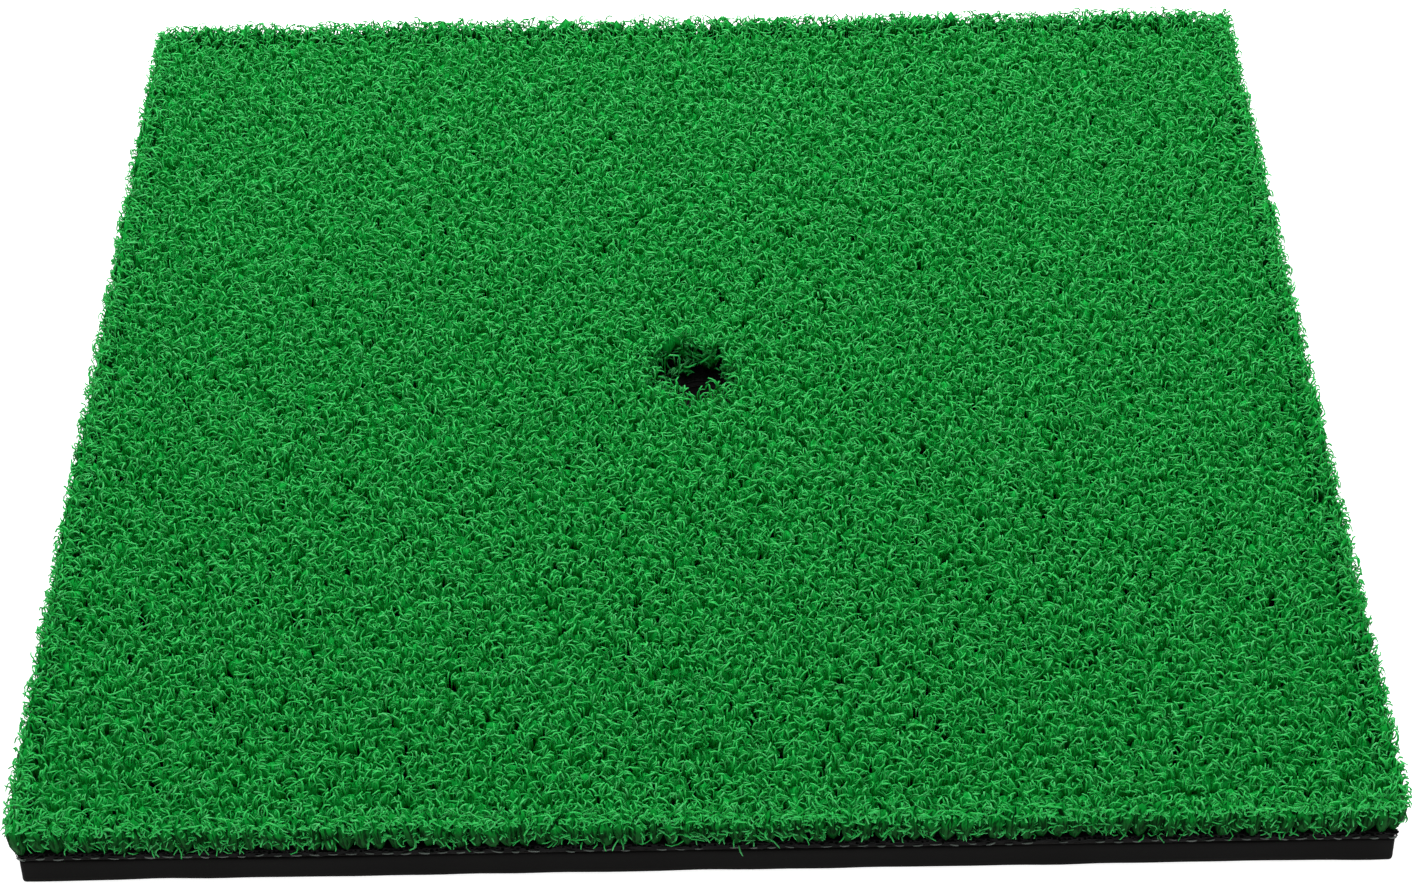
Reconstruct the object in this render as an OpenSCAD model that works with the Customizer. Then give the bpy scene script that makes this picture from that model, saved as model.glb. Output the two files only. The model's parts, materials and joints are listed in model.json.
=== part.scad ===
// Golf hitting mat: tufted turf glued to a foam pad, with a tee hole punched through the middle.
// Millimetres, +Z up. The origin is the middle of the underside, and the rows of tufts run along X.

/* [Mat] */
// Width of the mat, left to right
mat_w = 300; // [150:10:600]
// Depth of the mat, front to back
mat_d = 300; // [150:10:600]
// Radius of the mat's four upright corners
corner_r = 1; // [0.5:0.5:10]

/* [Foam pad] */
// Thickness of the foam pad
pad_t = 6.5; // [3:0.5:20]
// Bevel that the cutting die leaves round the pad's lower edge
pad_bevel = 0.5; // [0.2:0.1:1]

/* [Turf backing] */
// Thickness of the glue film between the pad and the turf
glue_t = 0.3; // [0.1:0.1:1]
// How far the glue film stops short of the mat's edge
glue_inset = 0.5; // [0:0.5:3]
// Thickness of the latex coat that locks the stitches
coat_t = 1.4; // [1:0.1:4]
// Thickness of the woven cloth that the yarn is stitched through
cloth_t = 0.8; // [0.4:0.1:2]

/* [Pile] */
// Height of the pile above the cloth
pile_h = 11; // [6:0.5:30]
// Wanted distance between neighbouring rows of tufts
row_pitch = 4; // [3:0.25:8]
// Clear gap between neighbouring rows
row_gap = 0.3; // [0.1:0.1:0.8]
// Bevel along the top of each row, where the cut ends fan out
row_bevel = 0.6; // [0.2:0.1:0.9]
// How far the pile leans out past each edge of the mat
pile_lean = 1; // [0:0.5:4]
// Height above the cloth at which the pile has leant out all the way
lean_h = 3; // [1:0.5:4]
// Radius of the half-round back-stitches under the cloth
stitch_r = 0.8; // [0.4:0.1:0.9]

/* [Tee hole] */
// Diameter of the hole punched through the pad and the backing
tee_hole_d = 12; // [8:0.5:30]
// How far the pile stands back from the hole all round
hole_clearing = 3; // [0.5:0.5:6]

/* [Hidden] */

// Heights of the layers, each on top of the one below
glue_z = pad_t;
coat_z = glue_z + glue_t;
cloth_z = coat_z + coat_t;
pile_z = cloth_z + cloth_t;

// The pile's outline at the top, and the rows that fill the mat's depth at about the wanted pitch
pile_w = mat_w + 2 * pile_lean;
pile_d = mat_d + 2 * pile_lean;
row_count = round(mat_d / row_pitch);
pitch = mat_d / row_count;

cut = 1; // how far a cutting tool runs past the face that it cuts
least_r = 0.1; // radius left on the corners of a sheet that is set in from the edge
hole_fn = 96;
corner_fn = 48;

// Where row i begins and ends, front to back; the outermost rows lean out to the pile's edge
function row_front(i) = i == 0 ? -pile_d / 2 : i * pitch - mat_d / 2 + row_gap / 2;
function row_back(i) = i == row_count - 1 ? pile_d / 2 : (i + 1) * pitch - mat_d / 2 - row_gap / 2;

// The line of needle holes that row i is stitched along
function stitch_y(i) = (i + 0.5) * pitch - mat_d / 2;

// A sheet the size of the mat less an inset all round, standing on z = 0
module sheet(thickness, inset = 0) {
    radius = max(corner_r - inset, least_r);
    half_w = mat_w / 2 - inset;
    half_d = mat_d / 2 - inset;
    union() {
        translate([-half_w, radius - half_d, 0]) cube([2 * half_w, 2 * (half_d - radius), thickness]);
        translate([radius - half_w, -half_d, 0]) cube([2 * (half_w - radius), 2 * half_d, thickness]);
        for (side_x = [-1, 1], side_y = [-1, 1])
            translate([side_x * (half_w - radius), side_y * (half_d - radius), 0])
                cylinder(h = thickness, r = radius, $fn = corner_fn);
    }
}

// The punch that clears a round hole through a layer of that thickness
module punch(diameter, thickness) {
    translate([0, 0, -cut]) cylinder(h = thickness + 2 * cut, d = diameter, $fn = hole_fn);
}

// The wedge that undercuts a side: inset at z = 0, running out to nothing at the given height
module undercut(distance, length, inset, height) {
    rotate([90, 0, 0])
        translate([0, 0, -length / 2 - cut])
            linear_extrude(length + 2 * cut)
                polygon([
                    [distance - inset, -cut],
                    [distance - inset, 0],
                    [distance, height],
                    [distance + cut, height],
                    [distance + cut, -cut],
                ]);
}

// Wedges under all four sides of a block of that width and depth
module undercuts(width, depth, inset, height) {
    for (turn = [0, 180]) rotate(turn) undercut(width / 2, depth, inset, height);
    for (turn = [90, 270]) rotate(turn) undercut(depth / 2, width, inset, height);
}

// Foam pad that the mat stands on
module foam_pad() {
    color([0.09, 0.09, 0.09])
        difference() {
            sheet(pad_t);
            punch(tee_hole_d, pad_t);
            undercuts(mat_w, mat_d, pad_bevel, pad_bevel);
        }
}

// Glue film that bonds the turf to the pad
module glue_film() {
    color([0.35, 0.33, 0.28])
        translate([0, 0, glue_z])
            difference() {
                sheet(glue_t, glue_inset);
                punch(tee_hole_d, glue_t);
            }
}

// One half-round bar of back-stitch for each row, hanging from the cloth's underside
module stitch_bars() {
    for (i = [0:row_count - 1])
        translate([-mat_w / 2, stitch_y(i), cloth_z])
            rotate([90, 0, 90])
                linear_extrude(mat_w)
                    intersection() {
                        circle(r = stitch_r, $fn = corner_fn);
                        translate([-stitch_r, -stitch_r]) square([2 * stitch_r, stitch_r]);
                    }
}

// Latex coat with a groove where each row of back-stitch is sunk in it
module latex_coat() {
    color([0.05, 0.05, 0.05])
        difference() {
            translate([0, 0, coat_z])
                difference() {
                    sheet(coat_t);
                    punch(tee_hole_d, coat_t);
                }
            stitch_bars();
        }
}

// The yarn's underside: one run of stitches for each row, cut where the tee hole crosses it
module back_stitches() {
    color([0.02, 0.25, 0.09])
        difference() {
            stitch_bars();
            translate([0, 0, coat_z]) punch(tee_hole_d, coat_t);
        }
}

// Woven cloth that carries the tufts
module backing_cloth() {
    color([0.04, 0.04, 0.04])
        translate([0, 0, cloth_z])
            difference() {
                sheet(cloth_t);
                punch(tee_hole_d, cloth_t);
            }
}

// Outline of a row of tufts, seen from its end
module row_outline(front, back) {
    polygon([
        [front, 0],
        [back, 0],
        [back, pile_h - row_bevel],
        [back - row_bevel, pile_h],
        [front + row_bevel, pile_h],
        [front, pile_h - row_bevel],
    ]);
}

// The pile: one solid for each row of tufts, leaning out at the edges and standing back from the hole
module tuft_rows() {
    color([0.09, 0.46, 0.18])
        translate([0, 0, pile_z])
            difference() {
                for (i = [0:row_count - 1])
                    translate([-pile_w / 2, 0, 0])
                        rotate([90, 0, 90])
                            linear_extrude(pile_w) row_outline(row_front(i), row_back(i));
                punch(tee_hole_d + 2 * hole_clearing, pile_h);
                undercuts(pile_w, pile_d, pile_lean, lean_h);
            }
}

foam_pad();
glue_film();
latex_coat();
back_stitches();
backing_cloth();
tuft_rows();
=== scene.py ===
"""Looks of a golf hitting mat: curly tufted turf on a black backing, glued to a foam pad with a tee hole.

Lengths are in metres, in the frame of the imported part: +Z up, origin in the middle of the underside, rows of
tufts along X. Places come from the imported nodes' boxes and from the record's tee hole.
"""

import json
import logging
import math
from dataclasses import dataclass
from enum import Enum

import bpy
import numpy as np
from bpy.types import Material, Node, NodeSocket, NodeTree, Object
from mathutils import Euler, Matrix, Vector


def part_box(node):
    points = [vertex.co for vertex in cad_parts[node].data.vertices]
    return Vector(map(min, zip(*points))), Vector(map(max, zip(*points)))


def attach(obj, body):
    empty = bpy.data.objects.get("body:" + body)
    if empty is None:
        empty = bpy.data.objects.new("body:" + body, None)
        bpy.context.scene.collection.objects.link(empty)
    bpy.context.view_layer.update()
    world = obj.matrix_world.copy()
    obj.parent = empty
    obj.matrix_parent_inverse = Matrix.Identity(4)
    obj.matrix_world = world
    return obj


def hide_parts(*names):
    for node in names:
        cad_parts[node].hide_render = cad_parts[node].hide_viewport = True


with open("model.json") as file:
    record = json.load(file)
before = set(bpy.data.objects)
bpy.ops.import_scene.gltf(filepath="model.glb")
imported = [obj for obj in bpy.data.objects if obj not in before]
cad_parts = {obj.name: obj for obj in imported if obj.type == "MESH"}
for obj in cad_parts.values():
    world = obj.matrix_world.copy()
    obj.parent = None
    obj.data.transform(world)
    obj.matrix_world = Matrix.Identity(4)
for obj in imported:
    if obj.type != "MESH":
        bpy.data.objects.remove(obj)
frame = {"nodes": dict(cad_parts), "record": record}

Array = np.ndarray
Colour = tuple[float, float, float]
Span = tuple[float, float]

MM = 0.001
BODY = "root"
ROW_PITCH = 4.0 * MM
UP = np.array([0.0, 0.0, 1.0])
log = logging.getLogger("hitting_mat")


# --- Node trees ---


class NodeSketch:
    """Adds nodes to one tree and wires them as they are added."""

    def __init__(self, tree: NodeTree) -> None:
        """Keep the tree that nodes are added to."""
        self.tree = tree

    def add(self, kind: str, settings: dict | None = None, **inputs: object) -> Node:
        """Add a node, set its properties and feed its inputs.

        Args:
            kind: the node's type name without the leading "ShaderNode".
            settings: properties of the node itself, by name.
            inputs: what its inputs get, as for feed.

        Returns:
            The new node.
        """
        node = self.tree.nodes.new("ShaderNode" + kind)
        for name, value in (settings or {}).items():
            setattr(node, name, value)
        self.feed(node, **inputs)
        return node

    def feed(self, node: Node, **inputs: object) -> None:
        """Feed a node's inputs: an output is linked, a plain value is set, and a colour gets its alpha.

        Args:
            node: the node.
            inputs: sockets by name, with spaces as underscores, or by place, as "i" and a number.
        """
        for name, value in inputs.items():
            by_place = name[0] == "i" and name[1:].isdigit()
            socket = node.inputs[int(name[1:]) if by_place else name.replace("_", " ")]
            if isinstance(value, NodeSocket):
                self.tree.links.new(value, socket)
            elif isinstance(value, tuple) and socket.type == "RGBA":
                socket.default_value = (*value, 1.0)
            else:
                socket.default_value = value

    def maths(self, operation: str, first: object, second: object = 0.0) -> NodeSocket:
        """Add a Math node and return its result."""
        return self.add("Math", {"operation": operation}, i0=first, i1=second).outputs[0]

    def blend(self, share: object, first: object, second: object, mode: str = "MIX") -> NodeSocket:
        """Add a colour Mix node and return its result."""
        settings = {"data_type": "RGBA", "blend_type": mode}
        return self.add("Mix", settings, i0=share, i6=first, i7=second).outputs[2]

    def pick(self, share: object, first: object, second: object) -> NodeSocket:
        """Add a Mix node for plain numbers and return its result."""
        return self.add("Mix", {"data_type": "FLOAT"}, i0=share, i2=first, i3=second).outputs[0]

    def ramp(self, value: object, to: Span, start: Span = (0.0, 1.0), kind: str = "LINEAR") -> NodeSocket:
        """Map a value from the span that it starts in to another, clamped, and return it."""
        spans = {"From_Min": start[0], "From_Max": start[1], "To_Min": to[0], "To_Max": to[1]}
        return self.add("MapRange", {"interpolation_type": kind}, Value=value, **spans).outputs[0]

    def noise(self, at: object, scale: object, detail: float, rough: float, warp: float = 0.0) -> NodeSocket:
        """Add a Noise Texture node and return its value."""
        inputs = {"Scale": scale, "Detail": detail, "Roughness": rough, "Distortion": warp}
        return self.add("TexNoise", Vector=at, **inputs).outputs[0]

    def bump(self, strength: float, depth: float, height: object) -> NodeSocket:
        """Add a Bump node and return its normal."""
        return self.add("Bump", Strength=strength, Distance=depth, Height=height).outputs[0]


def group_sketch(name: str, inputs: dict[str, str], outputs: dict[str, str]) -> tuple:
    """Make an empty shader node group with named sockets.

    Args:
        name: the group's name.
        inputs: socket name to its type; every material that uses the group feeds them all.
        outputs: socket name to its type.

    Returns:
        The group's sketch, the sockets of its input node, and its output node.
    """
    tree = bpy.data.node_groups.new(name, "ShaderNodeTree")
    for way, sockets in (("INPUT", inputs), ("OUTPUT", outputs)):
        for label, kind in sockets.items():
            tree.interface.new_socket(label, in_out=way, socket_type="NodeSocket" + kind)
    return NodeSketch(tree), tree.nodes.new("NodeGroupInput").outputs, tree.nodes.new("NodeGroupOutput")


def make_grain_group() -> NodeTree:
    """Fine grain for moulded and coated skins: two sizes of noise, as a height and as a mask.

    Returns:
        The group, which takes a place, a grain size and a blotch size, and puts out Height and Mask.
    """
    inputs = {"Vector": "Vector", "Grain Scale": "Float", "Blotch Scale": "Float"}
    outputs = {"Height": "Float", "Mask": "Float"}
    sketch, given, wanted = group_sketch(SharedEffect.GRAIN.value, inputs, outputs)
    grain = sketch.noise(given["Vector"], given["Grain Scale"], 2.0, 0.6)
    blotch = sketch.noise(given["Vector"], given["Blotch Scale"], 3.0, 0.55)
    spread = sketch.maths("MULTIPLY", sketch.maths("SUBTRACT", blotch, 0.35), 3.0)
    mask = sketch.maths("MINIMUM", sketch.maths("MAXIMUM", spread, 0.0), 1.0)
    sketch.feed(wanted, Height=sketch.maths("ADD", grain, sketch.maths("MULTIPLY", blotch, 0.6)), Mask=mask)
    return sketch.tree


def make_yarn_group() -> NodeTree:
    """Tone of one filament: painted shade darkens it towards its root, and each column of the map is a shade
    of its own.

    The map's first coordinate picks the column, so all of one filament has one shade; the columns run from
    dark to light, and some are paler. The second coordinate runs from root (0) to tip (1).

    Returns:
        The group, which takes the map and three colours, and puts out Color and Shade.
    """
    inputs = {"Map": "Vector", "Root": "Color", "Tip": "Color", "Pale": "Color", "Columns": "Float"}
    outputs = {"Color": "Color", "Shade": "Float"}
    sketch, given, wanted = group_sketch(SharedEffect.YARN.value, inputs, outputs)
    parts = sketch.add("SeparateXYZ", Vector=given["Map"]).outputs
    column = sketch.maths("FLOOR", sketch.maths("MULTIPLY", parts[0], given["Columns"]))
    place = sketch.maths("ADD", column, 0.37)
    chance = sketch.add("TexWhiteNoise", {"noise_dimensions": "1D"}, W=place).outputs[0]
    # painted shade: each filament darkens from tip to root, as if shaded deep in the pile
    rise = sketch.ramp(parts[1], (0.0, 1.0), (0.05, 0.7), "SMOOTHSTEP")
    body = sketch.blend(rise, given["Root"], given["Tip"])
    toned = sketch.blend(sketch.ramp(chance, (0.0, 0.7), (0.7, 1.0)), body, given["Pale"])
    # darker columns are dimmer: painted shade where a builder picks them by height, random tone where picked
    # at random
    dim = sketch.ramp(sketch.maths("DIVIDE", column, given["Columns"]), (0.66, 1.02))
    grey = sketch.add("CombineColor", Red=dim, Green=dim, Blue=dim).outputs[0]
    sketch.feed(wanted, Color=sketch.blend(1.0, toned, grey, "MULTIPLY"), Shade=chance)
    return sketch.tree


class SharedEffect(Enum):
    """Effects that several finishes use, each built once as a node group."""

    GRAIN = "fine_grain"
    YARN = "yarn_tone"

    def place_in(self, sketch: NodeSketch, **inputs: object) -> Node:
        """Place the effect in a material, building its group the first time.

        Args:
            sketch: the material's sketch.
            inputs: what the group's inputs get.

        Returns:
            The group's node.
        """
        makers = {SharedEffect.GRAIN: make_grain_group, SharedEffect.YARN: make_yarn_group}
        tree = bpy.data.node_groups.get(self.value) or makers[self]()
        return sketch.add("Group", {"node_tree": tree}, **inputs)


# --- Finishes ---


def new_material(name: str) -> tuple[Material, NodeSketch, Node]:
    """Make a material with a Principled shader.

    Args:
        name: the material's name.

    Returns:
        The material, a sketch of its tree and its shader.
    """
    material = bpy.data.materials.new(name)
    material.use_nodes = True
    shader = next(n for n in material.node_tree.nodes if n.type == "BSDF_PRINCIPLED")
    return material, NodeSketch(material.node_tree), shader


@dataclass(frozen=True)
class SkinFinish:
    """A black skin with fine grain: foam, latex, glue or tape."""

    name: str
    dark: Colour
    light: Colour
    roughness: Span
    gloss: float
    grain_scale: float
    blotch_scale: float
    bump: float
    bump_depth: float

    def material(self) -> Material:
        """Build the finish on the piece's own coordinates.

        Returns:
            The material.
        """
        material, sketch, shader = new_material(self.name)
        place = sketch.add("TexCoord").outputs["Object"]
        scales = {"Grain_Scale": self.grain_scale, "Blotch_Scale": self.blotch_scale}
        grain = SharedEffect.GRAIN.place_in(sketch, Vector=place, **scales).outputs
        sketch.feed(
            shader,
            Base_Color=sketch.blend(grain["Mask"], self.dark, self.light),
            Roughness=sketch.ramp(grain["Mask"], self.roughness),
            Normal=sketch.bump(self.bump, self.bump_depth, grain["Height"]),
            Specular_IOR_Level=self.gloss,
        )
        return material


@dataclass(frozen=True)
class WeaveFinish:
    """Plain-woven tape: over-and-under tapes drawn as a height, with painted shade in the gaps where they
    cross.
    """

    name: str
    tape: Colour
    gap_shade: Colour
    tape_width: float = 1.1 * MM
    roughness: Span = (0.7, 0.42)
    gloss: float = 0.05
    bump: float = 0.6
    bump_depth: float = 0.15 * MM

    def material(self) -> Material:
        """Build the weave on the piece's own coordinates.

        Each set of tapes is a sine across its width; where the product of the two sines is above 0 the warp
        lies on top, and elsewhere the weft.

        Returns:
            The material.
        """
        material, sketch, shader = new_material(self.name)
        parts = sketch.add("SeparateXYZ", Vector=sketch.add("TexCoord").outputs["Object"]).outputs
        turn = math.pi / self.tape_width
        waves = [sketch.maths("SINE", sketch.maths("MULTIPLY", parts[i], turn)) for i in (0, 1)]
        rounds = [sketch.maths("ABSOLUTE", wave) for wave in waves]
        over = sketch.maths("GREATER_THAN", sketch.maths("MULTIPLY", *waves), 0.0)
        crown = sketch.pick(over, *rounds)
        # painted shade: darker where the tapes dip at their edges and crossings
        sketch.feed(
            shader,
            Base_Color=sketch.blend(crown, self.gap_shade, self.tape),
            Roughness=sketch.ramp(crown, self.roughness),
            Normal=sketch.bump(self.bump, self.bump_depth, crown),
            Specular_IOR_Level=self.gloss,
        )
        return material


@dataclass(frozen=True)
class YarnFinish:
    """Extruded filament, coloured by the piece's own map of shade and length; darker towards its root as
    painted shade.
    """

    name: str
    root: Colour
    tip: Colour
    pale: Colour
    roughness: Span = (0.45, 0.62)
    gloss: float = 0.26

    def material(self) -> Material:
        """Build the finish on the piece's own map.

        Returns:
            The material.
        """
        material, sketch, shader = new_material(self.name)
        place = sketch.add("UVMap", {"uv_map": Filaments.MAP}).outputs[0]
        given = {"Root": self.root, "Tip": self.tip, "Pale": self.pale, "Columns": float(Filaments.COLUMNS)}
        tone = SharedEffect.YARN.place_in(sketch, Map=place, **given).outputs
        rough = sketch.ramp(tone["Shade"], self.roughness)
        sketch.feed(shader, Base_Color=tone["Color"], Roughness=rough, Specular_IOR_Level=self.gloss)
        return material


@dataclass(frozen=True)
class BundleFinish:
    """A tuft's packed filaments: stripes up the bundle, with painted shade between them and towards the cloth.
    """

    name: str
    # Between the stripes is painted shade; low, turning to high by the rise, is painted shade towards the
    # cloth.
    between_shade: Colour
    low: Colour
    high: Colour
    rise: Span = (0.15, 0.85)
    stripes: float = 36.0
    bends: float = 4.0
    sharpness: Span = (0.38, 0.56)
    roughness: Span = (0.85, 0.6)
    gloss: float = 0.04
    bump: float = 0.7
    bump_depth: float = 0.35 * MM

    def material(self) -> Material:
        """Build the finish on the piece's own map, which runs round the bundle and then up it.

        Returns:
            The material.
        """
        material, sketch, shader = new_material(self.name)
        place = sketch.add("UVMap", {"uv_map": Filaments.MAP}).outputs[0]
        stretched = sketch.add("Mapping", Vector=place, Scale=(self.stripes, self.bends, 1.0)).outputs[0]
        stripe = sketch.noise(stretched, 1.0, 2.0, 0.55, 0.8)
        sharp = sketch.ramp(stripe, (0.0, 1.0), self.sharpness)
        up = sketch.add("SeparateXYZ", Vector=place).outputs[1]
        # painted shade: darker towards the cloth and between the stripes
        body = sketch.blend(sketch.ramp(up, (0.0, 1.0), self.rise, "SMOOTHSTEP"), self.low, self.high)
        sketch.feed(
            shader,
            Base_Color=sketch.blend(sharp, self.between_shade, body),
            Roughness=sketch.ramp(sharp, self.roughness),
            Normal=sketch.bump(self.bump, self.bump_depth, stripe),
            Specular_IOR_Level=self.gloss,
        )
        return material


# --- Meshes ---


def unit(vectors: Array) -> Array:
    """Scale each vector in the last axis to length 1."""
    return vectors / np.maximum(np.linalg.norm(vectors, axis=-1, keepdims=True), 1e-12)


def sideways(outward: Array) -> Array:
    """Turn each direction in the plane a quarter anticlockwise."""
    return np.stack([-outward[:, 1], outward[:, 0]], 1)


def make_piece(
    name: str,
    points: Array,
    faces: list[Array],
    material: Material,
    smooth: bool = True,
    corners_map: Array | None = None,
) -> Object:
    """Put whole arrays of points and faces into a new object at the origin.

    Args:
        name: the piece's name.
        points: its points, one row each.
        faces: arrays of point numbers, one row for each face and one column for each of its corners.
        material: the finish that it wears.
        smooth: whether its faces are shaded smooth.
        corners_map: place on the map of each face corner, in the order of the faces.

    Returns:
        The object, linked to the scene.
    """
    mesh = bpy.data.meshes.new(name)
    mesh.vertices.add(len(points))
    mesh.vertices.foreach_set("co", np.ascontiguousarray(points, np.float32).ravel())
    corners = np.concatenate([f.ravel() for f in faces]).astype(np.int32)
    counts = np.concatenate([np.full(len(f), f.shape[1]) for f in faces])
    mesh.loops.add(len(corners))
    mesh.loops.foreach_set("vertex_index", corners)
    mesh.polygons.add(len(counts))
    mesh.polygons.foreach_set("loop_start", (np.cumsum(counts) - counts).astype(np.int32))
    mesh.polygons.foreach_set("use_smooth", np.full(len(counts), smooth))
    mesh.update(calc_edges=True)
    if corners_map is not None:
        layer = mesh.uv_layers.new(name=Filaments.MAP)
        layer.data.foreach_set("uv", np.ascontiguousarray(corners_map, np.float32).ravel())
    mesh.materials.append(material)
    piece = bpy.data.objects.new(name, mesh)
    bpy.context.scene.collection.objects.link(piece)
    return piece


def settle(piece: Object, slot: str, *nodes: str) -> Object:
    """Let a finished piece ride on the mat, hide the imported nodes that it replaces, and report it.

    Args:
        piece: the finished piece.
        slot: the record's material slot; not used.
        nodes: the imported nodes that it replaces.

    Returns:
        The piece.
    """
    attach(piece, BODY)
    if nodes:
        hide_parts(*nodes)
    log.info("%s: %d faces", piece.name, len(piece.data.polygons))
    return piece


def ripple(along: Array, wavelength: float, seed: int, waves: int = 7) -> Array:
    """Smooth random waviness between about -1 and 1.

    It is a sum of sines with seeded phases, whose wavelengths run from half to three times the given one.

    Args:
        along: where it is wanted, in metres.
        wavelength: its middle wavelength, in metres.
        seed: picks the phases.
        waves: how many sines are added.

    Returns:
        The waviness at each place.
    """
    rng = np.random.default_rng(seed)
    lengths = wavelength * np.geomspace(0.5, 3.0, waves)
    phases = rng.uniform(0, 2 * math.pi, waves)
    return np.sin(along[..., None] * 2 * math.pi / lengths + phases).sum(-1) / math.sqrt(waves) / 1.4


def ring_faces(rows: int, columns: int) -> Array:
    """Four-cornered faces of a grid closed both ways, whose point (i, j) has the number i * columns + j.

    Args:
        rows: number of points the first way.
        columns: number of points the second way.

    Returns:
        One row of four point numbers for each face.
    """
    i, j = np.divmod(np.arange(rows * columns), columns)
    down, right = (i + 1) % rows, (j + 1) % columns
    return np.stack([i * columns + j, down * columns + j, down * columns + right, i * columns + right], 1)


@dataclass
class Outline:
    """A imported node's outline: a rectangle with rounded corners, walked anticlockwise in even steps."""

    node: str
    step: float
    corner: float = 1.0 * MM

    def walk(self) -> tuple[Array, Array, Array]:
        """Work out the outline.

        Each side is a straight run, followed by a quarter circle of the corner's radius.

        Returns:
            The points, their outward directions, both in the plane, and the distance walked to each.
        """
        low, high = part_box(self.node)
        half = ((high.x - low.x) / 2, (high.y - low.y) / 2)
        points, outward = [], []
        for quarter in range(4):
            turn = quarter * math.pi / 2
            ahead = np.array([-math.sin(turn), math.cos(turn)])
            out = np.array([math.cos(turn), math.sin(turn)])
            reach, span = half[quarter % 2], half[1 - quarter % 2] - self.corner
            count = round(2 * span / self.step)
            points.append(out * reach + np.linspace(-span, span, count + 1)[:, None] * ahead)
            outward.append(np.broadcast_to(out, (count + 1, 2)))
            bend = np.linspace(0, math.pi / 2, 5)[1:-1, None]
            direction = out * np.cos(bend) + ahead * np.sin(bend)
            points.append(out * (reach - self.corner) + ahead * span + direction * self.corner)
            outward.append(direction)
        points, outward = np.concatenate(points), np.concatenate(outward)
        steps = np.linalg.norm(np.roll(points, -1, 0) - points, axis=1)
        return points, outward, np.cumsum(steps) - steps


@dataclass
class PunchedSlab:
    """A packed layer with the tee hole: one closed skin, a section carried round the hole.

    The rim's wall waves in and out by the swing, and stands back by the waste, which counts in swings.
    """

    node: str
    hole: float
    step: float
    edge: float
    swing: float
    waste: float
    wall_rings: int = 5
    face_rings: int = 4

    def heights(self) -> Span:
        """Heights of the layer's underside and top."""
        low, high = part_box(self.node)
        return low.z, high.z

    def section(self) -> Array:
        """Section of the slab from the hole's lower edge outwards and back.

        Each row is how far out it lies, from 0 at the hole to 1 at the rim, how far it is set in from
        there, and its height. The four edges are rounded by the edge size.

        Returns:
            The section's points, in order, as a closed loop.
        """
        low, high = self.heights()
        bend = np.linspace(0, math.pi / 2, 4)
        sin, cos = self.edge * (1 - np.sin(bend)), self.edge * (1 - np.cos(bend))
        across = np.linspace(0, 1, self.face_rings + 2)[1:-1] ** 2
        up = np.linspace(low + self.edge, high - self.edge, self.wall_rings + 2)[1:-1]
        none_out, none_up = np.zeros_like(across), np.zeros_like(up)
        parts = [
            (0 * bend, -cos, low + sin),
            (across, none_out, none_out + low),
            (0 * bend + 1, sin, low + cos),
            (none_up + 1, none_up, up),
            (0 * bend + 1, cos, high - sin),
            (across[::-1], none_out, none_out + high),
            (0 * bend, -sin, high - cos),
            (none_up, none_up, up[::-1]),
        ]
        return np.concatenate([np.stack(part, 1) for part in parts])

    def wave(self, seed: int, lower: float, upper: float | None = None) -> Array:
        """Waviness along the rim's wall: one ripple, or one at the foot that turns into another at the top.

        Args:
            seed: picks the ripples.
            lower: wavelength at the foot.
            upper: wavelength at the top.

        Returns:
            The waviness for each step of the outline and each point of the section.
        """
        walked = Outline(self.node, self.step).walk()[2]
        foot = ripple(walked, lower, seed)[:, None]
        if upper is None:
            return foot
        low, high = self.heights()
        rise = (self.section()[:, 2] - low) / (high - low)
        return foot * (1 - rise) + ripple(walked, upper, seed + 1)[:, None] * rise

    def piece(self, name: str, waves: Array, material: Material) -> Object:
        """Carry the section round the outline.

        A point lies between the hole's circle and the outline by its share, then moves in along the
        outline's own direction by its inset. The waves move the rim's wall in and out.

        Args:
            name: the piece's name.
            waves: the wall's waviness for each step of the outline and each point of the section.
            material: the finish that it wears.

        Returns:
            The piece.
        """
        rim, outward, _ = Outline(self.node, self.step).walk()
        circle = unit(rim) * self.hole
        share, inset, height = self.section().T
        flat = circle[:, None] * (1 - share[None, :, None]) + rim[:, None] * share[None, :, None]
        away = np.where(share[None, :, None] > 0.5, outward[:, None], unit(rim)[:, None])
        bulge = (waves - self.waste) * self.swing * (share > 0.99)
        flat = flat + away * (bulge - inset)[..., None]
        points = np.concatenate([flat, np.broadcast_to(height[None, :, None], (*flat.shape[:2], 1))], -1)
        return make_piece(name, points.reshape(-1, 3), [ring_faces(*points.shape[:2])], material)


# --- Filaments ---


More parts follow.
